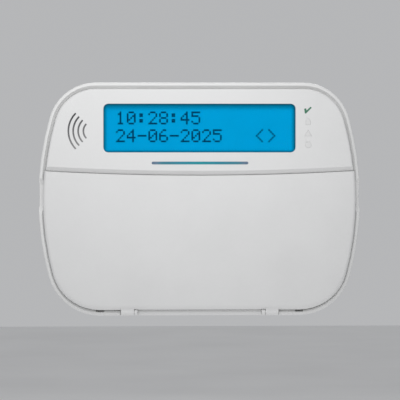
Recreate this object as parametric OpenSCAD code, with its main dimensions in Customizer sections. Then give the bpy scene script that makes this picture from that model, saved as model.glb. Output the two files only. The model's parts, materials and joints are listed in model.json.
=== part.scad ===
// Alarm keypad panel: a shallow wall case with a display, a light bar and a drop-down key door.
// X runs across the panel, Z runs up, the wall is the plane Y = 0 and the panel stands out to -Y.
// A "depth" is a distance from the wall, so a depth of 20 is the plane Y = -20.

/* [Case] */
// Width over the bowed sides
case_w = 168.9; // [168:0.1:170]
// Height over the flat top and bottom
case_h = 122; // [121:0.5:124]
// Depth from the wall to the fascia
case_d = 20; // [20:0.1:20.5]
// Radius of the bowed sides
side_r = 156; // [150:1:170]
// Radius of the two upper corners
top_corner_r = 25; // [24:0.5:26]
// Radius of the two lower corners
low_corner_r = 28; // [27:0.5:29]
// Thickness of the back wall
back_wall = 2; // [1.8:0.1:2.2]
// Thickness of the rim, from the outside to the opening
rim_t = 3.05; // [3:0.01:3.1]
// Depth of the rim's crest
rim_d = 15.5; // [15.4:0.1:15.5]

/* [Finger notches] */
// Height of the notch's middle
notch_z = 2; // [0:0.25:4]
// Length of the notch at the crest
notch_len = 19.5; // [16:0.5:20]
// Depth of the notch's floor
notch_floor = 13.6; // [13.4:0.1:13.8]
// Inset of the notch's flat side at the crest
notch_in = 0.6; // [0.5:0.05:0.8]

/* [Fascia] */
// Inset of the fascia's edge
fascia_inset = 3.3; // [3.25:0.01:3.5]
// Radius of the fascia's edge
fascia_fillet = 1; // [0.8:0.1:1.1]
// Height of the fascia's lower edge at the middle
fascia_low = 14.9; // [14.8:0.1:15]
// Height and depth of the sloped band under the fascia
bevel = 2.2; // [2.05:0.05:2.2]
// Radius of the curved line between fascia and door
smile_r = 1400; // [1200:50:2000]
// Thickness of the fascia
fascia_t = 2; // [1.8:0.1:2]

/* [Display] */
// Width of the display opening
view_w = 100.4; // [99:0.1:100.5]
// Height of the display opening
view_h = 25.4; // [24:0.1:25.5]
// Offset of the display to the right
view_x = -0.2; // [-0.3:0.05:0.3]
// Height of the display's middle
view_z = 37.2; // [37:0.05:37.5]
// Corner radius of the display opening
view_r = 2.6; // [2:0.1:3]

/* [Light bar and status lights] */
// Length of the light bar
bar_w = 50.5; // [48:0.5:52]
// Height of the light bar
bar_h = 1.5; // [1.3:0.05:1.5]
// Offset of the light bar to the right
bar_x = 0; // [-0.2:0.1:0.4]
// Height of the light bar's middle
bar_z = 18.96; // [18.9:0.02:19]
// Distance of the status lights from the middle
light_x = 56.6; // [56.6:0.1:57.2]

/* [Reader mark] */
// Middle of the curved lines, across
mark_x = -55.5; // [-56:0.1:-55]
// Middle of the curved lines, up
mark_z = 35.6; // [35:0.1:36]
// Width of each engraved line
mark_line = 1; // [0.8:0.1:1.2]

/* [Door] */
// Height of the door's upper edge at the middle
door_top = 12.55; // [12.35:0.05:12.55]
// Inset of the door's edge
door_inset = 2.5; // [2.5:0.05:2.9]
// Depth of the door's face
door_d = 18.8; // [18.7:0.1:18.8]
// Thickness of the door
door_t = 1.6; // [1.5:0.1:1.6]
// Radius of the hinge barrels
barrel_r = 1.6; // [1.5:0.05:1.6]
// Radius of the stub pins
pin_r = 0.9; // [0.8:0.05:0.9]
// Radial clearance around the stub pins
pin_gap = 0.05; // [0.03:0.01:0.08]
// Height of the hinge axis
hinge_z = -59.3; // [-59.3:0.01:-59.25]
// Depth of the hinge axis
hinge_d = 17.2; // [17.2:0.05:17.25]

/* [Keys] */
// Height of a key's face above the deck
key_proud = 1.3; // [1:0.1:1.3]
// Gap around each key in the deck
key_gap = 0.3; // [0.25:0.05:0.35]
// Width of the flange that holds a key behind the deck
key_flange = 0.7; // [0.6:0.05:0.7]

/* [Hidden] */
digit_names = ["key_1", "key_2", "key_3", "key_4", "key_5", "key_6", "key_7", "key_8", "key_9",
               "key_star", "key_0", "key_hash"];
arrow_names = ["key_left", "key_right"];
mode_names = ["key_stay", "key_away", "key_chime", "key_reset", "key_exit"];
help_names = ["key_fire", "key_medical", "key_panic"];
key_names = concat(digit_names, arrow_names, mode_names, help_names);
$fn = 48;

// Sampling of the outline's arcs.
corner_steps = 9;
side_steps = 8;
smile_steps = 6;
fillet_steps = 3;

// Outline: the sides are arcs of side_r about (side_x, 0), and each corner arc is tangent to them.
side_x = case_w / 2 - side_r;
top_angle = asin((case_h / 2 - top_corner_r) / (side_r - top_corner_r));
low_angle = asin((case_h / 2 - low_corner_r) / (side_r - low_corner_r));
top_corner_z = case_h / 2 - top_corner_r;
low_corner_z = low_corner_r - case_h / 2;
top_corner_x = side_x + (side_r - top_corner_r) * cos(top_angle);
low_corner_x = side_x + (side_r - low_corner_r) * cos(low_angle);

// Depths of the stack from the wall to the fascia.
board_back = 8.2;
board_front = 9.8;
mat_front = 10.7;
dome_front = 11.9;
flange_back = 11.95;
flange_front = 12.95;
deck_back = 13;
flange_top = 14.4;
deck_front = 15.3;
cover_back = 7.5;
fascia_back = case_d - fascia_t;
over = 0.5;

// Rear case: the rim's crest, the recesses under the hinge and the pry slots.
crest_round = 0.9;
slope_back = 13.9;
recess_floor = 12.8;
recess_top = -56;
pry_x = [50, 54.4];
pry_z = [-59.1, -57];
pry_floor = 11;
channel_x = [8, 16];
channel_depth = 1.1;
notch_slope = 4.2;
notch_foot = 1.8;

// Snap ribs of the rear case and their windows in the front cover.
snap_low_x = 52.2;
snap_top_x = 45;
snap_half = 2.5;
snap_back = 9.5;
snap_front = 10.7;
snap_height = 1.1;
snap_root = 0.4;
snap_play = 0.7;

// Front cover.
cover_inset = 3.15;
cover_wall = 5;
cavity_inset = 5.4;
cavity_low = 16;
deck_inset = 5;
deck_top = 10.4;
boss_r = 2.8;
boss_bore = 1.05;
boss_end = 14.2;
screw_spots = [[-46, -8], [-46, -49], [45, -8], [45, -49], [-65.8, 33.5], [67, 36]];

// Hinge.
barrel_in = 34.5;
barrel_out = 41.2;
hinge_gap = 41.7;
lug_in = 32.6;
lug_out = 34.2;
lug_r = 1.55;
strip_h = 2.8;
strip_back = 12.9;
strip_root = 4;
strip_edge = 0.4;
lip_back = 14;
lip_front = 15.9;

// Key layout: each spot is [x, z, width, height], in the order of key_names.
key_w = 14;
key_h = 9.5;
digit_x = [-32, -12, 8];
digit_z = [1, -14, -29, -44];
arrow_x = 30;
arrow_w = 9;
mode_x = 58;
mode_z = [3, -9, -21, -33, -45];
mode_w = 15;
mode_h = 7.5;
help_x = -58;
help_z = [-1, -21, -41];
help_h = 12;
key_r = 1.5;
key_step = 0.4;
key_spots = concat(
    [for (i = [0:11]) [digit_x[i % 3], digit_z[floor(i / 3)], key_w, key_h]],
    [for (i = [0:1]) [arrow_x, digit_z[i + 1], arrow_w, key_h]],
    [for (z = mode_z) [mode_x, z, mode_w, mode_h]],
    [for (z = help_z) [help_x, z, mode_w, help_h]]);

// Status lights from the top down.
light_z = [46.5, 40.5, 34.5, 28.4];
light_play = 0.06;
tick_shape = [[-2.15, 0.8], [-1.15, 1], [-0.85, -0.05], [1.15, 1.85], [1.85, 1.35], [-1.3, -1.85],
              [-1.85, -1.5]];
warning_shape = [[-1.9, -1.5], [1.9, -1.5], [0, 1.8]];

// Wall fixings.
wall_screw_x = 60;
wall_screw_z = 42;
wall_screw_r = 2.25;
box_screw_z = 83.3 / 2;
box_screw_r = 2.1;
entry_w = 36;
entry_h = 18;
entry_z = -22;

// Circuit parts on the back of the board.
terminal_x = 36;
terminal_z = -24;
terminal_pitch = 5;
terminal_count = 5;
terminal_half = 4;
terminal_back = 2.8;
clamp_r = 1.6;
clamp_z = 1.2;
tamper_x = -36;
tamper_z = -24;
plunger_r = 1;
switch_half = 3;
switch_back = 4.9;

// ---- points ----

function arc(cx, cz, r, a0, a1, n, first = 0) =
    [for (i = [first:n]) let (a = a0 + (a1 - a0) * i / n) [cx + r * cos(a), cz + r * sin(a)]];

function both_sides(half, top = []) =
    concat(half, top, [for (i = [len(half) - 1:-1:1]) [-half[i][0], half[i][1]]]);

function side_angle(z, d) = asin(z / (side_r - d));
function side_reach(z, d) = side_x + (side_r - d) * cos(side_angle(z, d));
function smile(x) = x * x / (2 * smile_r);

function low_corner(d) =
    concat([[0, d - case_h / 2]],
           arc(low_corner_x, low_corner_z, low_corner_r - d, -90, -low_angle, corner_steps));
function low_side(d) = arc(side_x, 0, side_r - d, -low_angle, 0, side_steps / 2, 1);
function top_corner(d) =
    arc(top_corner_x, top_corner_z, top_corner_r - d, top_angle, 90, corner_steps, 1);

// The case outline, moved inwards by d.
function case_outline(d) =
    both_sides(concat(low_corner(d), low_side(d),
                      arc(side_x, 0, side_r - d, 0, top_angle, side_steps / 2, 1), top_corner(d)));

// The part of the outline above the curved line that is at height z_low in the middle.
function upper_outline(d, z_low) =
    let (x_end = side_reach(z_low, d), z_end = z_low + smile(x_end), x_edge = side_reach(z_end, d))
    both_sides(concat([for (i = [0:smile_steps - 1]) let (x = x_edge * i / smile_steps)
                           [x, z_low + smile(x)]],
                      arc(side_x, 0, side_r - d, side_angle(z_end, d), top_angle, side_steps / 2),
                      top_corner(d)));

// The part of the outline below the curved line that is at height z_top in the middle.
function lower_outline(d, z_top, lift = 0) =
    let (x_end = side_reach(z_top, d), z_end = z_top + smile(x_end), x_edge = side_reach(z_end, d),
         corner_pts = [for (p = low_corner(d))
                           [p[0], p[1] + lift * pow(max(0, (low_corner_z - p[1]) / low_corner_r), 2)]])
    both_sides(concat(corner_pts, low_side(d),
                      arc(side_x, 0, side_r - d, 0, side_angle(z_end, d), 2, 1),
                      [for (i = [smile_steps - 1:-1:1]) let (x = x_edge * i / smile_steps)
                           [x, z_top + smile(x)]]),
               [[0, z_top]]);

function rounded_points(w, h, r, n = 5) =
    concat(arc(w / 2 - r, r - h / 2, r, -90, 0, n), arc(w / 2 - r, h / 2 - r, r, 0, 90, n),
           arc(r - w / 2, h / 2 - r, r, 90, 180, n), arc(r - w / 2, r - h / 2, r, 180, 270, n));

// ---- building blocks ----

// A flat shape in X and Z, extruded from depth d0 to depth d1.
module plate(d0, d1) {
    translate([0, -d0, 0]) rotate([90, 0, 0]) linear_extrude(d1 - d0) children();
}

module box(x0, x1, d0, d1, z0, z1) {
    translate([x0, -d1, z0]) cube([x1 - x0, d1 - d0, z1 - z0]);
}

// A round peg that runs from depth d0 to depth d1.
module peg(x, z, r, d0, d1, r_end = undef) {
    translate([x, -d0, z]) rotate([90, 0, 0])
        cylinder(h = d1 - d0, r1 = r, r2 = is_undef(r_end) ? r : r_end);
}

// A profile of [depth, z] points, extruded along X to both sides of the middle.
module rail(half, profile) {
    rotate([90, 0, 90]) translate([0, 0, -half]) linear_extrude(2 * half)
        polygon([for (p = profile) [-p[0], p[1]]]);
}

// A round bar along X on the hinge axis.
module hinge_bar(x0, x1, r) {
    translate([x0, -hinge_d, hinge_z]) rotate([0, 90, 0]) cylinder(h = x1 - x0, r = r);
}

module rounded(w, h, r) {
    polygon(rounded_points(w, h, r));
}

// A closed skin through rings of [points, depth], which all hold the same number of points.
module loft(rings) {
    n = len(rings[0][0]);
    last = len(rings) - 1;
    points = [for (ring = rings) for (p = ring[0]) [p[0], -ring[1], p[1]]];
    back = [for (i = [0:n - 1]) i];
    front = [for (i = [n - 1:-1:1]) last * n + i];
    sides = [for (k = [0:last - 1]) for (i = [0:n - 1]) let (j = (i + 1) % n)
                 each [[(k + 1) * n + i, (k + 1) * n + j, k * n + j],
                       [(k + 1) * n + i, k * n + j, k * n + i]]];
    polyhedron(points, concat([back, concat([last * n], front)], sides));
}

module both_hands() {
    children();
    mirror([1, 0, 0]) children();
}

// ---- rear case ----

// The outside of the rim as [inset, depth]: it flares from the wall and rounds over at its crest.
rim_profile = concat(
    [[1, 0], [0.7, 8], [0.2, 10.5], [0, 12], [0, rim_d - crest_round]],
    [for (t = [30:30:90])
         [crest_round * (1 - cos(t)), rim_d - crest_round + crest_round * sin(t)]]);
// The opening of the rim: straight, then sloping out to the crest.
opening_profile = [[rim_t, back_wall], [rim_t, slope_back], [1.75, rim_d - 0.2], [1.5, rim_d + 0.1]];

// A shallow dip in the crest, and a flat on the case's side that leans in towards the wall.
module notch_cut() {
    half = notch_len / 2;
    flat = half - notch_slope;
    edge = case_w / 2;
    dip = function (half) [[edge - 6, notch_z - half], [edge + 2, notch_z - half],
                           [edge + 2, notch_z + half], [edge - 6, notch_z + half]];
    side = function (inset) [[edge - 0.25, notch_z - half], [edge + 2, notch_z - half],
                             [edge + 2, notch_z + half], [edge - 0.25, notch_z + half],
                             [edge - inset, notch_z + flat], [edge - inset, notch_z - flat]];
    loft([[dip(flat), notch_floor], [dip(half), rim_d + 0.3]]);
    loft([[side(notch_foot), -over], [side(notch_in), rim_d + 0.3]]);
}

module wiring_channel() {
    box(channel_x[0], channel_x[1], -over, channel_depth, -case_h / 2 - over,
        entry_z - entry_h / 2 + over);
}

// A snap rib that catches one of the front cover's windows.
module snap_rib(x, z0, z1) {
    box(x - snap_half, x + snap_half, snap_back, snap_front, z0, z1);
}

module snap_window(x, z0, z1) {
    box(x - snap_half - snap_play, x + snap_half + snap_play, snap_back - 0.3, snap_front + 0.5, z0, z1);
}

module rear_case() {
    inner_z = case_h / 2 - rim_t;
    color([0.93, 0.93, 0.92]) union() {
        difference() {
            loft([for (s = rim_profile) [case_outline(s[0]), s[1]]]);
            loft([for (s = opening_profile) [case_outline(s[0]), s[1]]]);
            box(-hinge_gap, hinge_gap, recess_floor, case_d, -case_h / 2 - over, recess_top);
            both_hands() notch_cut();
            both_hands() box(pry_x[0], pry_x[1], pry_floor, case_d, pry_z[0], pry_z[1]);
            for (x = [-wall_screw_x, wall_screw_x])
                for (z = [-wall_screw_z, wall_screw_z])
                    peg(x, z, wall_screw_r, -over, back_wall + over);
            for (z = [-box_screw_z, box_screw_z])
                peg(0, z, box_screw_r, -over, back_wall + over);
            translate([0, 0, entry_z]) plate(-over, back_wall + over) rounded(entry_w, entry_h, 3);
            wiring_channel();
        }
        both_hands() snap_rib(snap_low_x, -inner_z - snap_root, -inner_z + snap_height);
        both_hands() snap_rib(snap_top_x, inner_z - snap_height, inner_z + snap_root);
    }
}

// ---- front cover ----

function bevel_low(depth) = fascia_low - bevel * min(1, (case_d - depth) / (bevel - 0.1));

fascia_profile = concat(
    [[fascia_inset, flange_top - 0.4], [fascia_inset, case_d - bevel + 0.1]],
    [for (t = [0:90 / fillet_steps:90])
         [fascia_inset + fascia_fillet * (1 - cos(t)), case_d - fascia_fillet * (1 - sin(t))]]);

module view_shape(grow) {
    translate([view_x, view_z]) rounded(view_w + 2 * grow, view_h + 2 * grow, view_r + grow);
}

module bar_shape(grow) {
    translate([bar_x, bar_z])
        rounded(bar_w + 2 * grow, bar_h + 2 * grow, bar_h / 2 + grow - 0.01);
}

// The symbols of the four status lights, from the top down.
module symbol(i) {
    if (i == 0) polygon(tick_shape);
    if (i == 1) {
        translate([-1.3, -1.6]) square([2.6, 2]);
        translate([0, 0.6]) circle(r = 1);
    }
    if (i == 2) polygon(warning_shape);
    if (i == 3) circle(r = 1.6);
}

module reader_mark() {
    sweep = 91;
    depth = 0.25;
    for (r = [5.3, 8, 10.6, 13.1])
        translate([mark_x, depth - case_d, mark_z]) rotate([90, 0, 0])
            rotate([0, 0, 180 - sweep / 2]) rotate_extrude(angle = sweep)
                translate([r - mark_line / 2, 0]) square([mark_line, depth + over]);
}

// The strip below the door, between the hinge gaps, with its sloped lip and the hinge lugs.
module hinge_strip() {
    low = -case_h / 2;
    rail(hinge_gap - 0.25, [[strip_back, low], [deck_front - strip_edge, low],
                            [deck_front, low + strip_edge], [deck_front, low + strip_h],
                            [flange_top - 0.1, low + strip_h], [flange_top - 0.1, low + strip_root],
                            [strip_back, low + strip_root]]);
    rail(lug_in - 0.2, [[lip_back, low + 0.1], [lip_front - 0.3, low + 0.1], [lip_front, low + 0.4],
                        [lip_front, low + 1.8], [lip_front - 0.7, low + 2.7], [lip_back, low + 2.7]]);
    both_hands() {
        hinge_bar(lug_in, lug_out, lug_r);
        box(lug_in, lug_out, lip_back, hinge_d, hinge_z - 1.3, hinge_z + 1.3);
    }
}

module front_cover() {
    color([0.92, 0.92, 0.91]) difference() {
        union() {
            difference() {
                union() {
                    difference() {
                        plate(cover_back, flange_top) polygon(case_outline(cover_inset));
                        plate(cover_back - over, deck_back) polygon(case_outline(cover_wall));
                    }
                    plate(deck_back + 0.5, deck_front) polygon(lower_outline(deck_inset, deck_top));
                    loft([for (s = fascia_profile) [upper_outline(s[0], bevel_low(s[1])), s[1]]]);
                    hinge_strip();
                }
                plate(deck_back - over, fascia_back) polygon(upper_outline(cavity_inset, cavity_low));
            }
            for (p = screw_spots)
                peg(p[0], p[1], boss_r, board_front, p[1] > cavity_low ? fascia_back + 0.3 : deck_back + 0.3);
        }
        for (p = screw_spots) peg(p[0], p[1], boss_bore, board_front - over, boss_end);
        plate(fascia_back - over, case_d + over) view_shape(0);
        plate(fascia_back - over, case_d + over) bar_shape(0);
        for (i = [0:3])
            translate([light_x, 0, light_z[i]]) plate(fascia_back - over, case_d + over) symbol(i);
        for (k = key_spots)
            translate([k[0], 0, k[1]]) plate(deck_back - over, deck_front + over)
                rounded(k[2] + 2 * key_gap, k[3] + 2 * key_gap, key_r + key_gap);
        reader_mark();
        both_hands() snap_window(snap_low_x, 3 - case_h / 2, 5.5 - case_h / 2);
        both_hands() snap_window(snap_top_x, case_h / 2 - 5.5, case_h / 2 - 3);
        hinge_bar(-lug_out - over, lug_out + over, pin_r + pin_gap);
    }
}

// ---- door ----

door_back = 15;
door_fillet = 1.6;
door_skirt = 1.2;
// Rise of the door's lower edge at its back, and what its rounding adds towards the face.
door_foot_lift = 0.65;
door_face_lift = 1.8;
// The outside of the door as [inset, depth, lift of the lower edge].
door_profile = concat(
    [[0, door_back, door_foot_lift], [0, door_d - door_fillet - 0.4, door_foot_lift]],
    [for (t = [0:90 / fillet_steps:90])
         [door_fillet * (1 - cos(t)), door_d - door_fillet * (1 - sin(t)),
          door_foot_lift + door_face_lift * (1 - cos(t))]]);

module door() {
    arm_in = 0.35;
    color([0.88, 0.88, 0.87]) difference() {
        union() {
            difference() {
                loft([for (s = door_profile)
                         [lower_outline(door_inset + s[0], door_top - 0.3 * s[0], s[2]), s[1]]]);
                plate(door_back - over, door_d - door_t)
                    polygon(lower_outline(door_inset + door_skirt, door_top - door_skirt, door_foot_lift));
            }
            both_hands() {
                hinge_bar(barrel_in, barrel_out, barrel_r);
                box(barrel_in, barrel_out, hinge_d - barrel_r + arm_in, hinge_d + barrel_r - arm_in,
                    hinge_z, hinge_z + 3);
            }
        }
        both_hands() hinge_bar(lug_in - 0.3, barrel_in - 0.1, lug_r + 0.35);
    }
    color([0.88, 0.88, 0.87]) both_hands() hinge_bar(lug_in + 0.1, barrel_in + 0.5, pin_r);
}

// ---- display ----

module display_window() {
    color([0.75, 0.87, 0.92, 0.4]) {
        plate(16.95, fascia_back - 0.05) view_shape(2.2);
        plate(fascia_back - 0.1, case_d - 1.3) view_shape(-0.1);
    }
}

bezel_grow_x = 4;
bezel_grow_z = 3.4;
bezel_t = 0.4;
bezel_back = 13.8;
bezel_front = 16.9;
glass_back = 15.2;
lcd_board_back = 12.2;

module display_block(grow_x, grow_z, d0, d1) {
    translate([view_x, 0, view_z]) plate(d0, d1)
        square([view_w + 2 * grow_x, view_h + 2 * grow_z], center = true);
}

module lcd_bezel() {
    color([0.55, 0.56, 0.58]) difference() {
        display_block(bezel_grow_x, bezel_grow_z, bezel_back, bezel_front);
        display_block(bezel_grow_x - bezel_t, bezel_grow_z - bezel_t, bezel_back - over,
                      bezel_front - bezel_t);
        display_block(0.6, 0.6, bezel_back, bezel_front + over);
    }
}

module lcd_glass() {
    color([0, 0.62, 0.86]) display_block(3, 2.5, glass_back, bezel_front - bezel_t);
}

module lcd_backlight() {
    color([0.95, 0.95, 0.95]) display_block(3.4, 2.8, bezel_back, glass_back);
}

module lcd_board() {
    half = 55.4;
    color([0.05, 0.35, 0.2]) box(-half, half, lcd_board_back, bezel_back, 20.6, 54.4);
}

module lcd_header() {
    pitch = 2.54;
    count = 16;
    left = -45;
    z = 52;
    pin = 0.32;
    color([0.1, 0.1, 0.1]) union() {
        box(left - pitch / 2, left + (count - 0.5) * pitch, board_front + 0.6, lcd_board_back - 0.6,
            z - pitch / 2, z + pitch / 2);
        for (i = [0:count - 1])
            box(left + i * pitch - pin, left + i * pitch + pin, board_front, lcd_board_back,
                z - pin, z + pin);
    }
}

// ---- lights ----

guide_back = 16.9;
lamp_front = board_front + 1.4;

module light_bar() {
    color([0.35, 0.6, 0.66]) union() {
        plate(guide_back, fascia_back - 0.05)
            translate([bar_x, bar_z]) rounded(bar_w + 3, 3.4, 1);
        plate(fascia_back - 0.1, case_d - 0.05) bar_shape(-0.05);
    }
}

module status_light(i, tint) {
    color(tint) translate([light_x, 0, light_z[i]]) union() {
        plate(guide_back, fascia_back - 0.05) square([5, 4.4], center = true);
        plate(fascia_back - 0.1, case_d - 0.05) offset(delta = -light_play) symbol(i);
        peg(0, 0, 1.1, lamp_front + 0.4, guide_back + 0.1);
    }
}

module ready_light() {
    status_light(0, [0.15, 0.6, 0.3]);
}

module armed_light() {
    status_light(1, [0.86, 0.86, 0.85]);
}

module trouble_light() {
    status_light(2, [0.86, 0.86, 0.85]);
}

module power_light() {
    status_light(3, [0.86, 0.86, 0.85]);
}

module lamp(x, z) {
    box(x - 1, x + 1, board_front, lamp_front, z - 0.6, z + 0.6);
}

module status_leds() {
    color([0.95, 0.95, 0.85]) for (z = light_z) lamp(light_x, z);
}

module bar_leds() {
    count = 6;
    color([0.95, 0.95, 0.85])
        for (i = [0:count - 1]) lamp(bar_x + bar_w * ((i + 0.5) / count - 0.5), bar_z);
}

// ---- circuit board ----

module main_board() {
    hole_r = 1.3;
    color([0.05, 0.4, 0.22]) difference() {
        plate(board_back, board_front) polygon(case_outline(6));
        for (p = screw_spots) peg(p[0], p[1], hole_r, board_back - over, board_front + over);
    }
}

module board_screws() {
    head_r = 2.4;
    head_h = 1.5;
    tip = 13.4;
    slot = 0.5;
    color([0.7, 0.7, 0.72]) for (p = screw_spots) difference() {
        union() {
            peg(p[0], p[1], head_r, board_back - head_h, board_back);
            peg(p[0], p[1], boss_bore - 0.05, board_back - 0.1, tip);
        }
        for (size = [[2.6, slot], [slot, 2.6]])
            translate([p[0], 0, p[1]]) plate(board_back - head_h - over, board_back - head_h + 0.8)
                square(size, center = true);
    }
}

module keypad_mat() {
    mat_w = 137.5;
    mat_h = 61.3;
    dome_r = 3.4;
    color([0.3, 0.32, 0.35]) union() {
        difference() {
            translate([-0.25, 0, -21.35]) plate(board_front, mat_front)
                rounded(mat_w, mat_h, 12);
            for (p = screw_spots) peg(p[0], p[1], boss_r + 0.5, board_front - over, mat_front + over);
        }
        for (k = key_spots) peg(k[0], k[1], dome_r, mat_front - 0.1, dome_front, dome_r - 1.2);
    }
}

module board_chips() {
    chip_h = 1.4;
    chips = [[-20, 14, 10, 10], [8, 12, 7, 7], [-52, 10, 5, 4], [24, -45, 5, 4]];
    color([0.12, 0.12, 0.13])
        for (c = chips)
            box(c[0] - c[2] / 2, c[0] + c[2] / 2, board_back - chip_h, board_back,
                c[1] - c[3] / 2, c[1] + c[3] / 2);
}

module power_parts() {
    can_r = 3.15;
    color([0.2, 0.22, 0.3]) for (x = [20, 29]) peg(x, 30, can_r, 3, board_back);
}

module sounder() {
    x = 50;
    z = 8;
    body_r = 7;
    port_r = 1.2;
    color([0.1, 0.1, 0.1]) difference() {
        peg(x, z, body_r, 3, board_back);
        peg(x, z, port_r, 3 - over, 5);
    }
}

module reader_antenna() {
    coil_w = 13.6;
    coil_h = 25;
    turns = 2;
    color([0.75, 0.45, 0.2])
        translate([-65.8, 0, 33.5]) plate(fascia_back - 0.7, fascia_back - 0.05) difference() {
            rounded(coil_w, coil_h, 4);
            rounded(coil_w - 2 * turns, coil_h - 2 * turns, 2);
        }
}

function terminal_at(i) = terminal_x + (i - (terminal_count - 1) / 2) * terminal_pitch;

module terminal_block() {
    half = terminal_count * terminal_pitch / 2;
    color([0.1, 0.4, 0.15]) difference() {
        box(terminal_x - half, terminal_x + half, terminal_back, board_back,
            terminal_z - terminal_half, terminal_z + terminal_half);
        for (i = [0:terminal_count - 1]) {
            peg(terminal_at(i), terminal_z + clamp_z, clamp_r + 0.1, terminal_back - over, 6);
            box(terminal_at(i) - 1.4, terminal_at(i) + 1.4, 4.5, 7.3,
                terminal_z - terminal_half - over, terminal_z - 1.6);
        }
    }
}

module terminal_screws() {
    color([0.75, 0.75, 0.72]) for (i = [0:terminal_count - 1]) difference() {
        peg(terminal_at(i), terminal_z + clamp_z, clamp_r, 3.4, 5.9);
        translate([terminal_at(i), 0, terminal_z + clamp_z]) plate(3, 4)
            square([3.4, 0.5], center = true);
    }
}

module tamper_switch() {
    color([0.15, 0.15, 0.16]) difference() {
        box(tamper_x - switch_half, tamper_x + switch_half, switch_back, board_back,
            tamper_z - switch_half, tamper_z + switch_half);
        peg(tamper_x, tamper_z, plunger_r + 0.05, switch_back - over, 7.6);
    }
}

module tamper_plunger() {
    color([0.85, 0.2, 0.15]) peg(tamper_x, tamper_z, plunger_r, back_wall + 0.05, 6.4);
}

// ---- keys ----

module key(i) {
    k = key_spots[i];
    face = deck_front + key_proud;
    translate([k[0], 0, k[1]]) union() {
        plate(flange_back, flange_front)
            rounded(k[2] + 2 * key_flange, k[3] + 2 * key_flange, key_r + key_flange);
        plate(flange_front - 0.1, face - key_step) rounded(k[2], k[3], key_r);
        plate(face - key_step - 0.1, face)
            rounded(k[2] - 2 * key_step, k[3] - 2 * key_step, key_r - key_step);
    }
}

rear_case();
front_cover();
door();
display_window();
lcd_bezel();
lcd_glass();
lcd_backlight();
lcd_board();
lcd_header();
main_board();
board_screws();
keypad_mat();
light_bar();
ready_light();
armed_light();
trouble_light();
power_light();
status_leds();
bar_leds();
board_chips();
power_parts();
sounder();
reader_antenna();
terminal_block();
terminal_screws();
tamper_switch();
tamper_plunger();
for (i = [0:len(key_names) - 1])
    key(i);
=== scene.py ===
import json
import math

import bmesh
import bpy
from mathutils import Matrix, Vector


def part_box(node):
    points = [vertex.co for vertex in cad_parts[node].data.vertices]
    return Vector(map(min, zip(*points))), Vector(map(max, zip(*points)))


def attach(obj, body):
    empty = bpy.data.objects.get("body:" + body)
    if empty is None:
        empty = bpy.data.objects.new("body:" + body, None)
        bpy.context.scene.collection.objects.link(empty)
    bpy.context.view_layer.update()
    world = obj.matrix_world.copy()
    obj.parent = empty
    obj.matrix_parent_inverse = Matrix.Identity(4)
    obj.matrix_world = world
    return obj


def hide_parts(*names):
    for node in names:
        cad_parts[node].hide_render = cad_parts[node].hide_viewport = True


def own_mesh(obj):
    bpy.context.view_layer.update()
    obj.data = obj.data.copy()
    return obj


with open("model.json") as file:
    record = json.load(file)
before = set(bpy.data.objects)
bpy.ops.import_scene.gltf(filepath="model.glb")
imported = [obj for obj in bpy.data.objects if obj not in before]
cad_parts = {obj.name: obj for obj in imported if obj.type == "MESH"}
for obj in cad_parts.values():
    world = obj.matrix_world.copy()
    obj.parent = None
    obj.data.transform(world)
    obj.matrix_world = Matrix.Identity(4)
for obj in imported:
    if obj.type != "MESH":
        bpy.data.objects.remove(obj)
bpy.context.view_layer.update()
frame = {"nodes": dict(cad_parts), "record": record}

MM = 0.001
HOUSING = "housing"
NODES = frame["nodes"]
SLOT_OF = {part["node"]: part["material_slot"] for part in frame["record"]["subparts"]}


# ---- sizes read from the CAD nodes, in millimetres ----

def span_of(node):
    """((x0, x1), (d0, d1), (z0, z1)) of a CAD node in millimetres, where d is the depth from the wall."""
    low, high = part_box(node)
    return tuple(tuple(v / MM for v in pair) for pair in
                 ((low.x, high.x), (-high.y, -low.y), (low.z, high.z)))


def middle_of(node):
    """The x and z of a CAD node's middle."""
    (x0, x1), _, (z0, z1) = span_of(node)
    return (x0 + x1) / 2, (z0 + z1) / 2


# The display's opening: the window's flange stands behind its edges all round.
WINDOW_FLANGE = 2.2
(WINDOW_X0, WINDOW_X1), _, (WINDOW_Z0, WINDOW_Z1) = span_of("display_window")
VIEW_X, VIEW_Z = middle_of("display_window")
VIEW_W = WINDOW_X1 - WINDOW_X0 - 2 * WINDOW_FLANGE
VIEW_H = WINDOW_Z1 - WINDOW_Z0 - 2 * WINDOW_FLANGE
VIEW_LEFT = WINDOW_X0 + WINDOW_FLANGE
VIEW_TOP = WINDOW_Z1 - WINDOW_FLANGE
GLASS_D = span_of("lcd_glass")[1][1]
FASCIA_D = span_of("front_cover")[1][1]
# The light bar's flange reaches past its visible stretch at both ends.
BAR_FLANGE = 1.5
BAR_X0, BAR_X1 = span_of("light_bar")[0]


# ---- materials ----

# The range in which the values of noise mostly lie.
NOISE_LOW, NOISE_HIGH = 0.3, 0.7
# Sockets of the Mix node when it mixes colours.
MIX_FACTOR, MIX_A, MIX_B, MIX_RESULT = 0, 6, 7, 2


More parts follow.
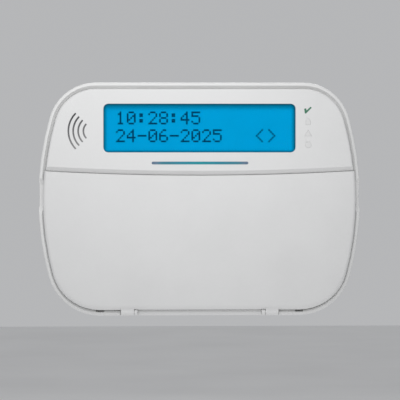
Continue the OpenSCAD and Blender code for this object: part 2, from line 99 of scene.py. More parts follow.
class Shader:
    """A node tree around one Principled shader, with short calls for the nodes used here."""

    def __init__(self, name):
        self.mat = bpy.data.materials.new(name)
        self.mat.use_nodes = True
        self.tree = self.mat.node_tree
        self.bsdf = self.tree.nodes["Principled BSDF"]

    def node(self, kind, **inputs):
        """A new node with these inputs, whose names have _ for a space."""
        made = self.tree.nodes.new(kind)
        for key, value in inputs.items():
            made.inputs[key.replace("_", " ")].default_value = value
        return made

    def link(self, out, into):
        self.tree.links.new(out, into)

    def place(self):
        """Object coordinates, in metres."""
        return self.node("ShaderNodeTexCoord").outputs["Object"]

    def axis(self, name):
        """One object coordinate: "X", "Y" or "Z"."""
        split = self.node("ShaderNodeSeparateXYZ")
        self.link(self.place(), split.inputs[0])
        return split.outputs[name]

    def math(self, operation, a, b=0.0, c=0.0):
        """A Math node on numbers or sockets."""
        made = self.node("ShaderNodeMath")
        made.operation = operation
        for value, socket in zip((a, b, c), made.inputs):
            if isinstance(value, (int, float)):
                socket.default_value = value
            else:
                self.link(value, socket)
        return made.outputs[0]

    def noise(self, size, detail=2.0, roughness=0.5):
        """Noise whose features are about size millimetres across."""
        made = self.node("ShaderNodeTexNoise", Scale=1 / (size * MM), Detail=detail, Roughness=roughness)
        self.link(self.place(), made.inputs["Vector"])
        return made.outputs["Fac"]

    def map(self, fac, low, high, to_low=0.0, to_high=1.0):
        """The range from low to high, stretched to the range from to_low to to_high."""
        made = self.node("ShaderNodeMapRange", From_Min=low, From_Max=high, To_Min=to_low, To_Max=to_high)
        self.link(fac, made.inputs["Value"])
        return made.outputs["Result"]

    def ramp(self, fac, stops):
        """Colours at positions: stops are (position, colour)."""
        made = self.node("ShaderNodeValToRGB")
        points = made.color_ramp.elements
        while len(points) < len(stops):
            points.new(0.5)
        for point, (position, colour) in zip(points, stops):
            point.position = position
            point.color = (*colour, 1)
        self.link(fac, made.inputs["Fac"])
        return made.outputs["Color"]

    def tones(self, fac, low, high):
        """Colours from low to high, over the range of noise."""
        return self.ramp(fac, [(NOISE_LOW, low), (NOISE_HIGH, high)])

    def multiply(self, a, b):
        """The product of two colours, each a socket or a tuple."""
        made = self.node("ShaderNodeMix")
        made.data_type = "RGBA"
        made.blend_type = "MULTIPLY"
        made.inputs[MIX_FACTOR].default_value = 1.0
        self.fill(made.inputs[MIX_A], a)
        self.fill(made.inputs[MIX_B], b)
        return made.outputs[MIX_RESULT]

    def mix(self, fac, a, b):
        """Colour a where fac is 0, and b where it is 1."""
        made = self.node("ShaderNodeMix")
        made.data_type = "RGBA"
        self.link(fac, made.inputs[MIX_FACTOR])
        self.fill(made.inputs[MIX_A], a)
        self.fill(made.inputs[MIX_B], b)
        return made.outputs[MIX_RESULT]

    def fill(self, socket, colour):
        """Gives a colour socket a fixed colour or another socket's."""
        if isinstance(colour, tuple):
            socket.default_value = (*colour, 1)
        else:
            self.link(colour, socket)

    def colour(self, value):
        self.link(value, self.bsdf.inputs["Base Color"])

    def rough(self, fac, low, high):
        """Roughness from low to high, over the range of noise."""
        self.link(self.map(fac, NOISE_LOW, NOISE_HIGH, low, high), self.bsdf.inputs["Roughness"])

    def glow(self, colour, strength):
        self.link(colour, self.bsdf.inputs["Emission Color"])
        self.set(Emission_Strength=strength)

    def bump(self, *heights):
        """Bumps in a chain: heights are (value, depth in millimetres)."""
        last = None
        for value, depth in heights:
            made = self.node("ShaderNodeBump", Distance=depth * MM, Strength=1.0)
            self.link(value, made.inputs["Height"])
            if last:
                self.link(last, made.inputs["Normal"])
            last = made.outputs["Normal"]
        self.link(last, self.bsdf.inputs["Normal"])

    def set(self, **inputs):
        """Sets inputs of the Principled shader, whose names have _ for a space."""
        for key, value in inputs.items():
            self.bsdf.inputs[key.replace("_", " ")].default_value = value


def shaded(colour, by):
    return tuple(min(1.0, c * by) for c in colour)


def grey(value):
    return (value, value, value)


# Plastic: sizes of its patches of tone, specks, grain and sink marks, and the depth of the marks.
DRIFT_SIZE, SPECK_SIZE, GRAIN_SIZE, SINK_SIZE = 24, 1.4, 0.32, 11
SINK_DEPTH = 0.01
SPECK_SHARE = 0.3
# The range of patches and specks added up.
TONE_LOW, TONE_HIGH = 0.4, 0.95


def moulded(name, tint, rough=0.42, grain=0.0035, shade=0.04):
    """Moulded plastic: a fine spark-eroded grain, and colour and gloss that drift slightly."""
    s = Shader(name)
    drift = s.noise(DRIFT_SIZE, detail=3)
    speck = s.noise(SPECK_SIZE, detail=4, roughness=0.65)
    value = s.math("MULTIPLY_ADD", speck, SPECK_SHARE, drift)
    s.colour(s.ramp(value, [(TONE_LOW, shaded(tint, 1 - shade)), (TONE_HIGH, shaded(tint, 1 + shade / 2))]))
    s.rough(drift, rough - 0.04, rough + 0.06)
    s.bump((s.noise(GRAIN_SIZE), grain), (s.noise(SINK_SIZE, detail=1), SINK_DEPTH))
    s.set(Specular_IOR_Level=0.45)
    return s.mat


WINDOW_TINTS = (0.0, 0.25, 0.40), (0.0, 0.28, 0.45)


def clear_window(name):
    """Clear polycarbonate, nearly all see-through."""
    s = Shader(name)
    s.colour(s.tones(s.noise(30), *WINDOW_TINTS))
    s.rough(s.noise(6, detail=3), 0.05, 0.12)
    s.set(Alpha=0.04, IOR=1.49, Specular_IOR_Level=0.3)
    s.bump((s.noise(18, detail=1), 0.004))
    return s.mat


# Colours by how much of the light reaches a place.
DISPLAY_TINTS = [(0, (0.003, 0.06, 0.09)), (0.35, (0.0, 0.19, 0.36)), (1, (0.0, 0.353, 0.72))]
DISPLAY_POWER = 0.75
# The glass's own colour, as a share of its light's.
DISPLAY_PAINT = 0.25
# How far the frame's shade reaches in from each side, from the top and from the foot.
SIDE_SHADE, TOP_SHADE, FOOT_SHADE = 2.2, 3.6, 1.6


def display_glass(name):
    """A lit display: mottled blue, darker near the edges where the frame shades it."""
    s = Shader(name)
    x = s.math("ABSOLUTE", s.math("SUBTRACT", s.axis("X"), VIEW_X * MM))
    z = s.math("SUBTRACT", s.axis("Z"), VIEW_Z * MM)
    side = s.map(s.math("SUBTRACT", VIEW_W / 2 * MM, x), 0, SIDE_SHADE * MM)
    top = s.map(s.math("SUBTRACT", VIEW_H / 2 * MM, z), 0, TOP_SHADE * MM)
    foot = s.map(s.math("ADD", VIEW_H / 2 * MM, z), 0, FOOT_SHADE * MM)
    light = s.math("MULTIPLY", s.math("MULTIPLY", side, top), foot)
    lit = s.multiply(s.ramp(light, DISPLAY_TINTS), s.tones(s.noise(14), grey(0.96), grey(1)))
    s.colour(s.multiply(lit, grey(DISPLAY_PAINT)))
    s.glow(lit, DISPLAY_POWER)
    s.set(Roughness=0.4, Specular_IOR_Level=0.0)
    return s.mat


INK_TINTS = (0.0, 0.015, 0.05), (0.0, 0.02, 0.062)
INK_GLOW = (0.0, 0.015, 0.055), (0.0, 0.02, 0.07)
INK_POWER = 0.4


def display_ink(name):
    """The display's dark dots, with a little of the light behind them."""
    s = Shader(name)
    s.colour(s.tones(s.noise(5), *INK_TINTS))
    s.glow(s.tones(s.noise(7), *INK_GLOW), INK_POWER)
    s.set(Roughness=0.4, Specular_IOR_Level=0.0)
    return s.mat


# The light bar's colours from one tip to its middle.
BAR_TINTS = [(0, (0.10, 0.137, 0.19)), (0.05, (0.105, 0.16, 0.22)), (0.1, (0.055, 0.165, 0.21)),
             (0.3, (0.035, 0.18, 0.24))]
BAR_MIDDLE = (0.5, (0.025, 0.205, 0.24))
BAR_POWER = 0.45


def light_guide(name):
    """The lit bar: teal in the middle, bluer outwards, and unlit at its tips."""
    s = Shader(name)
    along = s.map(s.axis("X"), (BAR_X0 + BAR_FLANGE) * MM, (BAR_X1 - BAR_FLANGE) * MM)
    other_half = [(1 - position, tint) for position, tint in reversed(BAR_TINTS)]
    lit = s.ramp(along, BAR_TINTS + [BAR_MIDDLE] + other_half)
    s.colour(s.multiply(lit, s.tones(s.noise(3), grey(0.9), grey(1))))
    s.glow(lit, BAR_POWER)
    s.set(Roughness=0.3, Specular_IOR_Level=0.0)
    s.bump((s.noise(2.5, detail=1), 0.003))
    return s.mat


SYMBOL_POWER = 0.35


def lit_symbol(name, low, high):
    """A light guide or a diffuser with some light behind it."""
    s = Shader(name)
    tint = s.tones(s.noise(1.6, detail=3), low, high)
    s.colour(tint)
    s.glow(tint, SYMBOL_POWER)
    s.set(Roughness=0.35)
    s.bump((s.noise(1.2, detail=1), 0.002))
    return s.mat


# Scales of the grain in metal: even, or drawn out along X by a brush.
EVEN_GRAIN = (1500, 1500, 1500)
BRUSHED_GRAIN = (80, 4000, 4000)


def plated(name, low, high, grain=EVEN_GRAIN, rough=0.35):
    """Plated metal with a slight grain."""
    s = Shader(name)
    scale = s.node("ShaderNodeVectorMath")
    scale.operation = "MULTIPLY"
    s.link(s.place(), scale.inputs[0])
    scale.inputs[1].default_value = grain
    noise = s.node("ShaderNodeTexNoise", Scale=1.0, Detail=4.0)
    s.link(scale.outputs[0], noise.inputs["Vector"])
    s.colour(s.tones(noise.outputs["Fac"], low, high))
    s.rough(s.noise(4, detail=3), rough - 0.08, rough + 0.12)
    s.set(Metallic=1.0)
    s.bump((noise.outputs["Fac"], 0.003))
    return s.mat


# Two layers of tracks, which are the joints in a brick pattern: the length and height of a brick in
# millimetres, and the pattern's turn in degrees.
TRACKS = ((10.4, 2.7, 0), (15.2, 3.6, 90))
TRACK_W = 0.22
TRACK_RAISE, WEAVE_RAISE = 0.035, 0.004
MASK_TINTS = (0.006, 0.085, 0.032), (0.009, 0.11, 0.042)
TRACK_TINT = (0.02, 0.2, 0.08)


def circuit_board(name):
    """Solder mask over copper: paler tracks in two directions, and the weave of the glass cloth."""
    s = Shader(name)
    place = s.place()
    layers = []
    for length, height, turn in TRACKS:
        turned_place = s.node("ShaderNodeMapping")
        turned_place.inputs["Rotation"].default_value = (math.pi / 2, 0, math.radians(turn))
        s.link(place, turned_place.inputs["Vector"])
        brick = s.node("ShaderNodeTexBrick", Scale=1.0, Mortar_Size=TRACK_W * MM, Mortar_Smooth=0.1,
                       Brick_Width=length * MM, Row_Height=height * MM)
        brick.offset = 0.37
        s.link(turned_place.outputs[0], brick.inputs["Vector"])
        layers.append(brick.outputs["Fac"])
    track = s.math("MAXIMUM", *layers)
    cloth = s.noise(0.5, detail=1)
    s.colour(s.mix(track, s.tones(cloth, *MASK_TINTS), TRACK_TINT))
    s.rough(s.noise(9), 0.28, 0.4)
    s.bump((track, TRACK_RAISE), (cloth, WEAVE_RAISE))
    return s.mat


# Each stretch of this length along X is plain at first and striped from these shares of it on.
STRIPE_EVERY = 9
STRIPE_START, STRIPE_FULL = 0.42, 0.46
SLEEVE_TINTS = (0.012, 0.02, 0.05), (0.02, 0.032, 0.075)
STRIPE_TINT = (0.35, 0.38, 0.42)


def sleeve(name):
    """A capacitor's shrink sleeve with its pale polarity stripe."""
    s = Shader(name)
    along = s.math("FRACT", s.math("MULTIPLY", s.axis("X"), 1 / (STRIPE_EVERY * MM)))
    base = s.tones(s.noise(3, detail=3), *SLEEVE_TINTS)
    s.colour(s.mix(s.map(along, STRIPE_START, STRIPE_FULL), base, STRIPE_TINT))
    s.rough(s.noise(5), 0.25, 0.4)
    s.bump((s.noise(1.2), 0.01))
    return s.mat


# Scale of the wave whose bands are the antenna's turns, and its colours from gap to crest.
COIL_SCALE = 900
COIL_TINTS = [(0.2, (0.16, 0.05, 0.02)), (0.7, (0.62, 0.28, 0.13))]


def coil(name):
    """Copper turns of a flat antenna, under lacquer."""
    s = Shader(name)
    wave = s.node("ShaderNodeTexWave", Scale=COIL_SCALE, Distortion=0.5, Detail=1.0)
    wave.bands_direction = "DIAGONAL"
    s.link(s.place(), wave.inputs["Vector"])
    s.colour(s.ramp(wave.outputs["Fac"], COIL_TINTS))
    s.rough(s.noise(3), 0.3, 0.45)
    s.set(Metallic=0.85)
    s.bump((wave.outputs["Fac"], 0.03))
    return s.mat


# The reader mark: the arcs' centre, half their height, and where they lie to the left of the centre.
READER_X, READER_Z = -55.5, 35.6
READER_HALF_H = 9
READER_NEAR, READER_FAR = 4, 13
# How much the painted shade lightens towards the centre, and how uneven the paint is.
READER_PAINTED_SHADE_FADE, READER_WEAR = -0.25, 0.16
# Greys from palest to darkest, which the painted shade and the paint's unevenness pick among.
READER_TINTS = [(0, grey(0.235)), (0.45, (0.13, 0.13, 0.135)), (0.85, (0.043, 0.043, 0.047))]


def reader_ink_and_painted_shade(name):
    """Grey paint in the reader mark's grooves, with painted shade that makes it darkest at the upper left and
    palest at the lower right.
    """
    s = Shader(name)
    # Painted shade: the paint darkens upwards and to the left, as light from the upper left leaves the
    # grooves.
    up = s.map(s.axis("Z"), (READER_Z - READER_HALF_H) * MM, (READER_Z + READER_HALF_H) * MM)
    inward = s.map(s.axis("X"), (READER_X - READER_FAR) * MM, (READER_X - READER_NEAR) * MM)
    value = s.math("SUBTRACT", s.math("MULTIPLY_ADD", inward, READER_PAINTED_SHADE_FADE, up), READER_WEAR / 2)
    # The paint's random unevenness, added on top of the painted shade.
    painted_shade_and_wear = s.math("MULTIPLY_ADD", s.noise(1.2, detail=3), READER_WEAR, value)
    s.colour(s.ramp(painted_shade_and_wear, READER_TINTS))
    s.set(Roughness=0.6)
    s.bump((s.noise(0.6), 0.01))
    return s.mat


def printed(name, tint):
    """Pad-printed ink: slightly uneven in colour and gloss."""
    s = Shader(name)
    s.colour(s.tones(s.noise(0.8, detail=3), shaded(tint, 0.8), shaded(tint, 1.3)))
    s.rough(s.noise(2), 0.4, 0.55)
    s.bump((s.noise(0.3, detail=1), 0.003))
    return s.mat


SLOTS = {
    "case_white": lambda n: moulded(n, (0.74, 0.74, 0.735), rough=0.44),
    "cover_white": lambda n: moulded(n, (0.71, 0.71, 0.707)),
    "door_white": lambda n: moulded(n, (0.71, 0.71, 0.707), rough=0.46, grain=0.005),
    "clear_window": clear_window,
    "bezel_metal": lambda n: plated(n, (0.42, 0.42, 0.43), (0.58, 0.58, 0.6), BRUSHED_GRAIN),
    "lcd_blue": display_glass,
    "led_white": lambda n: lit_symbol(n, (0.75, 0.72, 0.5), (0.85, 0.85, 0.78)),
    "board_green": circuit_board,
    "part_black": lambda n: moulded(n, (0.016, 0.016, 0.018), rough=0.5, shade=0.3),
    "screw_steel": lambda n: plated(n, (0.5, 0.49, 0.46), (0.68, 0.67, 0.64), rough=0.3),
    "mat_rubber": lambda n: moulded(n, (0.05, 0.052, 0.058), rough=0.65, grain=0.01, shade=0.2),
    "bar_guide": light_guide,
    "ready_green": lambda n: lit_symbol(n, (0.012, 0.10, 0.05), (0.022, 0.14, 0.075)),
    "symbol_off": lambda n: moulded(n, (0.675, 0.675, 0.67), shade=0.03),
    "capacitor_sleeve": sleeve,
    "antenna_copper": coil,
    "terminal_green": lambda n: moulded(n, (0.02, 0.17, 0.05), rough=0.4, shade=0.15),
    "plunger_red": lambda n: moulded(n, (0.5, 0.03, 0.02), rough=0.38, shade=0.12),
    "key_grey": lambda n: moulded(n, (0.62, 0.63, 0.64), rough=0.5, grain=0.006),
    "key_pale": lambda n: moulded(n, (0.42, 0.44, 0.47), rough=0.5, grain=0.006),
    "key_help": lambda n: moulded(n, (0.66, 0.66, 0.65), rough=0.5, grain=0.006),
}


# ---- edges and pieces ----

# Widths of the rounded edges in millimetres; short edges beside them hold them narrower.
BEVELS = {"rear_case": 0.15, "front_cover": 0.06, "door": 0.15, "keypad_mat": 0.1, "display_window": 0.1}
KEY_BEVEL = 0.18
SMALL_BEVEL = 0.05
BEVEL_ANGLE = 35
# Points nearer than this become one, since the rounding folds over shorter edges.
WELD = 0.012
KEY_PREFIX = "key_"


def round_edges(obj, width):
    """Welds a mesh and rounds its sharp edges."""
    weld = obj.modifiers.new("weld", "WELD")
    weld.merge_threshold = WELD * MM
    edge = obj.modifiers.new("edge", "BEVEL")
    edge.width = width * MM
    edge.segments = 2
    edge.limit_method = "ANGLE"
    edge.angle_limit = math.radians(BEVEL_ANGLE)
    obj.modifiers.new("shade", "WEIGHTED_NORMAL")
    obj.data.polygons.foreach_set("use_smooth", [True] * len(obj.data.polygons))


def dress_nodes():
    """Gives the CAD nodes materials and rounded edges; returns the materials by slot."""
    made = {}
    for name, obj in NODES.items():
        slot = SLOT_OF[name]
        if slot not in made:
            made[slot] = SLOTS[slot](slot)
        obj.data.materials.clear()
        obj.data.materials.append(made[slot])
        round_edges(obj, BEVELS.get(name, KEY_BEVEL if name.startswith(KEY_PREFIX) else SMALL_BEVEL))
    return made


def add_piece(name, mesh, material, body):
    """An object with this mesh and material, riding on a body."""
    mesh.materials.append(material)
    piece = bpy.data.objects.new(name, mesh)
    bpy.context.scene.collection.objects.link(piece)
    bpy.context.view_layer.objects.active = piece
    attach(piece, body)
    return piece


# ---- flat shapes: dots, legends and the reader mark ----

# Width of a line's top as a share of its foot, and the sharpest mitre as a cosine.
STROKE_TOP = 0.8
MITRE_LIMIT = 0.6
# Places on the quarter circle that rounds a line's end, in degrees.
CAP_ANGLES = (30, 60, 84)


class Relief:
    """Flat raised shapes on a face at one depth, gathered into one mesh."""

    def __init__(self, depth, height):
        self.depth, self.height = depth, height
        self.points, self.faces = [], []

    def _add(self, x, z, up):
        self.points.append((x * MM, -(self.depth + up) * MM, z * MM))
        return len(self.points) - 1

    def tile(self, x, z, w, h, slope):
        """A rectangle whose sides lean in by slope, with its lower left corner at x, z."""
        def corners(d, up):
            return [self._add(x + a * w + (1 - 2 * a) * d, z + b * h + (1 - 2 * b) * d, up)
                    for a, b in ((0, 0), (1, 0), (1, 1), (0, 1))]
        foot, top = corners(0, 0), corners(slope, self.height)
        self.faces.append(top)
        self.faces.append(foot[::-1])
        for i in range(4):
            j = (i + 1) % 4
            self.faces.append([foot[i], foot[j], top[j], top[i]])

    def stroke(self, path, width, closed):
        """A line of that width along the path, with round ends and mitred corners."""
        half = width / 2
        sections = []
        count = len(path)
        for i, point in enumerate(path):
            here = Vector(point)
            back = here - Vector(path[i - 1]) if closed or i else None
            ahead = Vector(path[(i + 1) % count]) - here if closed or i < count - 1 else None
            way = ((back or ahead).normalized() + (ahead or back).normalized()).normalized()
            across = Vector((-way.y, way.x))
            leg = back or ahead
            lean = max(MITRE_LIMIT, abs(across.dot(Vector((-leg.y, leg.x)).normalized())))
            sections.append((here, across * (half / lean)))
        if not closed:
            sections = self._cap(sections[0], 1)[::-1] + sections + self._cap(sections[-1], -1)
        rows = [[self._add(*(here - across), 0), self._add(*(here - across * STROKE_TOP), self.height),
                 self._add(*(here + across * STROKE_TOP), self.height), self._add(*(here + across), 0)]
                for here, across in sections]
        pairs = list(zip(rows, rows[1:])) + ([(rows[-1], rows[0])] if closed else [])
        for a, b in pairs:
            for k in range(4):
                m = (k + 1) % 4
                self.faces.append([a[k], b[k], b[m], a[m]])
        if not closed:
            self.faces.append(rows[0])
            self.faces.append(rows[-1][::-1])

    def _cap(self, section, side):
        """Sections that round a line's end outwards from its last section."""
        here, across = section
        outward = Vector((-across.y, across.x)) * side
        return [(here + outward * math.sin(t), across * math.cos(t)) for t in map(math.radians, CAP_ANGLES)]

    def build(self, name, material, body):
        mesh = bpy.data.meshes.new(name)
        mesh.from_pydata(self.points, [], self.faces)
        mesh.validate()
        return add_piece(name, mesh, material, body)


def arc(cx, cz, rx, rz, start, end, steps=10):
    """Points on an ellipse's arc, from one angle to another in degrees."""
    angles = [math.radians(start + (end - start) * i / steps) for i in range(steps + 1)]
    return [(cx + rx * math.cos(a), cz + rz * math.sin(a)) for a in angles]


# Display cells: 5 dots wide and 7 high, with a dot's room between columns.
DOT_W, DOT_H = 0.938, 0.975
DOT_GAP = 0.03
DOT_RAISE = 0.05
DOT_SLOPE = 0.02
CELL_W = 6 * DOT_W
TEXT_LEFT = VIEW_LEFT + 6.6
TEXT_TOP = VIEW_TOP - 4
ROW_PITCH = 9.3
TEXT = ("10:28:45", "24-06-2025   <>")
GLYPHS = {
    "0": "01110 10001 10011 10101 11001 10001 01110",
    "1": "00100 01100 00100 00100 00100 00100 01110",
    "2": "01110 10001 00001 00010 00100 01000 11111",
    "4": "00010 00110 01010 10010 11111 00010 00010",
    "5": "11111 10000 11110 00001 00001 10001 01110",
    "6": "00110 01000 10000 11110 10001 10001 01110",
    "8": "01110 10001 10001 01110 10001 10001 01110",
    ":": "00000 01100 01100 00000 01100 01100 00000",
    "-": "00000 00000 00000 11111 00000 00000 00000",
    "<": "00010 00100 01000 10000 01000 00100 00010",
    ">": "01000 00100 00010 00001 00010 00100 01000",
    " ": "",
}


def display_dots(ink):
    """The dark dots of both rows of characters, as one piece."""
    dots = Relief(GLASS_D, DOT_RAISE)
    for row, signs in enumerate(TEXT):
        for column, sign in enumerate(signs):
            for line_below, bits in enumerate(GLYPHS[sign].split(), start=1):
                z = TEXT_TOP - row * ROW_PITCH - line_below * DOT_H
                for k, bit in enumerate(bits):
                    if bit == "1":
                        x = TEXT_LEFT + column * CELL_W + k * DOT_W
                        dots.tile(x, z, DOT_W - DOT_GAP, DOT_H - DOT_GAP, DOT_SLOPE)
    dots.build("display_dots", ink, HOUSING)


READER_RADII = (5.3, 8.0, 10.6, 13.1)
# The grooves' sweep in degrees, and their depth.
READER_SWEEP, READER_GROOVE = 91, 0.25
# The painted lines' width and height, and the length of groove that a round end takes.
READER_LINE, READER_RAISE, READER_END = 0.86, 0.08, 0.46
READER_STEPS = 24


def reader_lines(ink):
    """Painted arcs in the grooves of the reader mark."""
    lines = Relief(FASCIA_D - READER_GROOVE, READER_RAISE)
    for r in READER_RADII:
        half = (READER_SWEEP - math.degrees(2 * READER_END / r)) / 2
        path = arc(READER_X, READER_Z, r, r, 180 - half, 180 + half, READER_STEPS)
        lines.stroke(path, READER_LINE, closed=False)
    lines.build("reader_lines", ink, HOUSING)


# ---- key legends ----

# A legend is a list of (path, closed), in units of its height, with its middle at 0, 0.

def turned(paths):
    return [([(-x, -z) for x, z in path], closed) for path, closed in paths]


def mirrored(paths):
    return [([(-x, z) for x, z in path], closed) for path, closed in paths]


def ring(cx, cz, rx, rz, steps=20):
    return arc(cx, cz, rx, rz, 0, 360 - 360 / steps, steps - 1), True


def line(*points):
    return list(points), False


def loop(*points):
    return list(points), True


def star(radius=0.3):
    return [line(*[(r * math.cos(a), r * math.sin(a)) for r in (-radius, radius)])
            for a in map(math.radians, (30, 90, 150))]


SIX = [ring(0, -0.2, 0.29, 0.3), line(*arc(0.26, -0.2, 0.55, 0.68, 112, 174))]
CHEVRON = [line((0.17, 0.34), (-0.19, 0), (0.17, -0.34))]
LEGENDS = {
    "key_0": [ring(0, 0, 0.3, 0.5)],
    "key_1": [line((-0.17, 0.3), (0.04, 0.5), (0.04, -0.5))],
    "key_2": [line(*arc(0, 0.21, 0.28, 0.29, 170, -30), (-0.29, -0.49), (0.3, -0.49))],
    "key_3": [line(*arc(0, 0.26, 0.25, 0.24, 155, -90), *arc(0, -0.24, 0.29, 0.26, 90, -155)[1:])],
    "key_4": [line((0.13, -0.5), (0.13, 0.5), (-0.32, -0.17), (0.34, -0.17))],
    "key_5": [line((0.26, 0.5), (-0.21, 0.5), (-0.25, 0.07), *arc(0, -0.18, 0.3, 0.32, 125, -150))],
    "key_6": SIX,
    "key_7": [line((-0.3, 0.5), (0.3, 0.5), (-0.08, -0.5))],
    "key_8": [ring(0, 0.26, 0.24, 0.24), ring(0, -0.24, 0.29, 0.26)],
    "key_9": turned(SIX),
    "key_star": star(),
    "key_hash": [line((-0.1 + s, -0.36), (-0.02 + s, 0.36)) for s in (-0.08, 0.2)]
                + [line((-0.32, z), (0.34, z)) for z in (-0.13, 0.13)],
    "key_left": CHEVRON,
    "key_right": mirrored(CHEVRON),
    # A house with someone in it.
    "key_stay": [loop((-0.36, -0.42), (-0.36, 0.02), (0, 0.42), (0.36, 0.02), (0.36, -0.42)),
                 ring(0, -0.12, 0.09, 0.09, 12)],
    # An arrow out of an open frame.
    "key_away": [line((0.12, 0.42), (-0.38, 0.42), (-0.38, -0.42), (0.12, -0.42)),
                 line((-0.15, 0), (0.5, 0)), line((0.28, 0.22), (0.5, 0), (0.28, -0.22))],
    # A bell.
    "key_chime": [loop((-0.4, -0.26), (-0.27, -0.1), *arc(0, 0.12, 0.27, 0.3, 180, 0), (0.27, -0.1),
                       (0.4, -0.26)),
                  line(*arc(0, -0.34, 0.13, 0.1, 190, 350, 6))],
    # A round arrow.
    "key_reset": [line(*arc(0, 0, 0.38, 0.38, 60, 345, 18)), line((0.2, -0.03), (0.38, -0.1), (0.46, 0.1))],
    # An arrow away from a door.
    "key_exit": [loop((-0.42, -0.42), (-0.42, 0.42), (-0.12, 0.42), (-0.12, -0.42)),
                 line((0.08, 0), (0.5, 0)), line((0.3, 0.2), (0.5, 0), (0.3, -0.2))],
    # A flame.
    "key_fire": [loop((-0.02, 0.5), (0.16, 0.22), (0.3, 0.05), (0.32, -0.2), (0.18, -0.42), (0, -0.47),
                      (-0.2, -0.4), (-0.31, -0.2), (-0.26, 0.02), (-0.14, 0.12), (-0.08, 0.3)),
                 line(*arc(0, -0.27, 0.11, 0.12, 150, 390))],
    # A cross.
    "key_medical": [loop((-0.14, 0.42), (0.14, 0.42), (0.14, 0.14), (0.42, 0.14), (0.42, -0.14),
                         (0.14, -0.14), (0.14, -0.42), (-0.14, -0.42), (-0.14, -0.14), (-0.42, -0.14),
                         (-0.42, 0.14), (-0.14, 0.14))],
    # A ring round an exclamation mark.
    "key_panic": [ring(0, 0, 0.44, 0.44, 28), line((0, 0.22), (0, -0.05)), ring(0, -0.22, 0.025, 0.025, 8)],
}
LEGEND_H = {"key_grey": 4.6, "key_pale": 4.0, "key_help": 5.4}
LEGEND_LINE = 0.5
LEGEND_RAISE = 0.04
LEGEND_INK = (0.03, 0.035, 0.045)


def key_legends(ink):
    """A printed legend on each key, which rides on the key."""
    for name, paths in LEGENDS.items():
        height = LEGEND_H[SLOT_OF[name]]
        key_x, key_z = middle_of(name)
        legend = Relief(span_of(name)[1][1], LEGEND_RAISE)
        for path, closed in paths:
            placed = [(key_x + x * height, key_z + z * height) for x, z in path]
            legend.stroke(placed, LEGEND_LINE, closed)
        legend.build("legend_" + name, ink, name)


# ---- the rubber mat, with a dome under each key ----

DOME_H = 1.2
# Room between a dome's top and its key.
DOME_GAP = 0.02
# Rings of radius and height above the mat: the foot, the shoulder, the top and the dimple in it.
DOME_PROFILE = [(3.4, -0.1), (3.4, 0.06), (3.25, 0.15), (2.8, 0.3), (2.5, 0.8), (2.3, 1.08),
                (2.1, DOME_H - DOME_GAP), (1.2, DOME_H - DOME_GAP), (1.05, 1.1)]
DOME_STEPS = 32
# Points of the mat nearer than this are one point.
SEAM = 0.001


def mat_sheet(face):
    """The mat's mesh with its domes cut off and the openings closed; face is its front's depth."""
    cut = bmesh.new()
    cut.from_mesh(NODES["keypad_mat"].data)
    bmesh.ops.remove_doubles(cut, verts=cut.verts, dist=SEAM * MM)
    domes = [v for v in cut.verts if -v.co.y > (face + DOME_H / 4) * MM]
    bmesh.ops.delete(cut, geom=domes, context="VERTS")
    bmesh.ops.holes_fill(cut, edges=[e for e in cut.edges if e.is_boundary], sides=0)
    mesh = bpy.data.meshes.new("mat_sheet")
    cut.to_mesh(mesh)
    cut.free()
    return mesh


def dome_mesh(x, z, face):
    """A dome turned about the middle of its key, standing on the mat's front."""
    points = []
    for r, up in DOME_PROFILE:
        for i in range(DOME_STEPS):
            a = 2 * math.pi * i / DOME_STEPS
            points.append(((x + r * math.cos(a)) * MM, -(face + up) * MM, (z + r * math.sin(a)) * MM))
    rows = [list(range(k * DOME_STEPS, (k + 1) * DOME_STEPS)) for k in range(len(DOME_PROFILE))]
    faces = [rows[0][::-1], rows[-1]]
    for low, high in zip(rows, rows[1:]):
        for i in range(DOME_STEPS):
            j = (i + 1) % DOME_STEPS
            faces.append([low[i], low[j], high[j], high[i]])
    mesh = bpy.data.meshes.new("dome")
    mesh.from_pydata(points, [], faces)
    mesh.polygons.foreach_set("use_smooth", [True] * len(faces))
    return mesh


def rubber_mat(rubber):
    """The mat as a sheet, and a dome under each key."""
    face = span_of("keypad_mat")[1][1] - DOME_H
    sheet = add_piece("mat_sheet", mat_sheet(face), rubber, HOUSING)
    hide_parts("keypad_mat")
    round_edges(sheet, BEVELS["keypad_mat"])
    for joint in frame["record"]["behaviour"]["joints"]:
        key = joint["child"]
        if not key.startswith(KEY_PREFIX):
            continue
        x, z = middle_of(key)
        dome = add_piece("dome_" + key, dome_mesh(x, z, face), rubber, HOUSING)
        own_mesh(dome)


# ---- light, floor and camera, in metres ----

WORLD_TINT = (0.97, 0.98, 1.0)
WORLD_STRENGTH = 0.48
FLOOR_HALF, FLOOR_DROP = 3.0, 0.3
FLOOR_TINTS = grey(0.8), grey(0.84)
CAMERA_AIM = Vector((0.0004, -0.01, -0.0006))
CAMERA_AZIMUTH, CAMERA_ELEVATION = math.radians(-2.5), math.radians(1.5)
CAMERA_DISTANCE = 1.3
CAMERA_CLIP = 0.05
# Focal length and sensor width in millimetres.
CAMERA_LENS, CAMERA_SENSOR = 222.4, 36


def add_lamp(name, data, place, aim):
    lamp = bpy.data.objects.new(name, data)
    lamp.location = place
    lamp.rotation_euler = (Vector(aim) - Vector(place)).to_track_quat("-Z", "Y").to_euler()
    bpy.context.scene.collection.objects.link(lamp)


def add_area(name, place, aim, size, watts):
    data = bpy.data.lights.new(name, "AREA")
    data.energy = watts
    data.shape = "RECTANGLE"
    data.size, data.size_y = size
    add_lamp(name, data, place, aim)


def add_spot(name, place, aim, degrees, radius, watts):
    """A soft-edged light, brightest where it is aimed."""
    data = bpy.data.lights.new(name, "SPOT")
    data.energy = watts
    data.spot_size = math.radians(degrees)
    data.spot_blend = 1.0
    data.shadow_soft_size = radius
    add_lamp(name, data, place, aim)


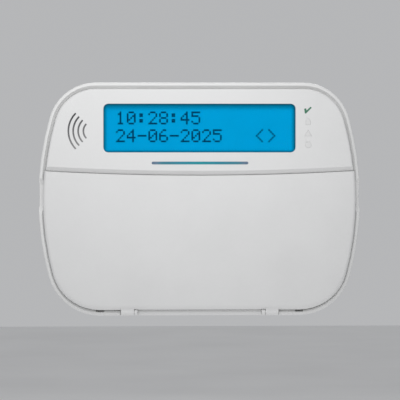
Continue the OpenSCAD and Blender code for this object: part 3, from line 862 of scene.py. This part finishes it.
def studio():
    world = bpy.data.worlds.new("studio")
    bpy.context.scene.world = world
    world.use_nodes = True
    back = world.node_tree.nodes["Background"]
    back.inputs["Color"].default_value = (*WORLD_TINT, 1)
    back.inputs["Strength"].default_value = WORLD_STRENGTH
    add_area("key", place=(-0.09, -0.30, 0.33), aim=(0, 0, 0), size=(0.35, 0.2), watts=0.5)
    add_spot("front", place=(-0.2, -1.6, 0.3), aim=(-0.004, 0, 0.064), degrees=15, radius=0.12, watts=42)
    add_area("foot", place=(0, -0.07, -0.27), aim=(0, -0.012, -0.06), size=(0.4, 0.08), watts=0.07)
    add_area("behind", place=(0.2, 1.1, 0.8), aim=(0, 0, 0), size=(0.8, 0.5), watts=9)
    bpy.context.scene.view_settings.view_transform = "Standard"


def add_floor():
    mesh = bpy.data.meshes.new("floor")
    corners = [(x * FLOOR_HALF, y * FLOOR_HALF, -FLOOR_DROP) for x, y in ((-1, -1), (1, -1), (1, 1), (-1, 1))]
    mesh.from_pydata(corners, [], [(0, 1, 2, 3)])
    floor = bpy.data.objects.new("floor", mesh)
    bpy.context.scene.collection.objects.link(floor)
    s = Shader("floor")
    s.colour(s.tones(s.noise(160, detail=3), *FLOOR_TINTS))
    s.set(Roughness=0.85)
    mesh.materials.append(s.mat)


def add_camera():
    data = bpy.data.cameras.new("camera")
    data.sensor_width = CAMERA_SENSOR
    data.lens = CAMERA_LENS
    data.clip_start = CAMERA_CLIP
    camera = bpy.data.objects.new("camera", data)
    back = Vector((math.sin(CAMERA_AZIMUTH) * math.cos(CAMERA_ELEVATION),
                   -math.cos(CAMERA_AZIMUTH) * math.cos(CAMERA_ELEVATION),
                   math.sin(CAMERA_ELEVATION)))
    camera.location = CAMERA_AIM + back * CAMERA_DISTANCE
    camera.rotation_euler = (-back).to_track_quat("-Z", "Y").to_euler()
    bpy.context.scene.collection.objects.link(camera)
    bpy.context.scene.camera = camera


studio()
add_floor()
add_camera()
materials = dress_nodes()
rubber_mat(materials["mat_rubber"])
display_dots(display_ink("display_ink"))
reader_lines(reader_ink_and_painted_shade("reader_ink_and_painted_shade"))
key_legends(printed("legend_ink", LEGEND_INK))
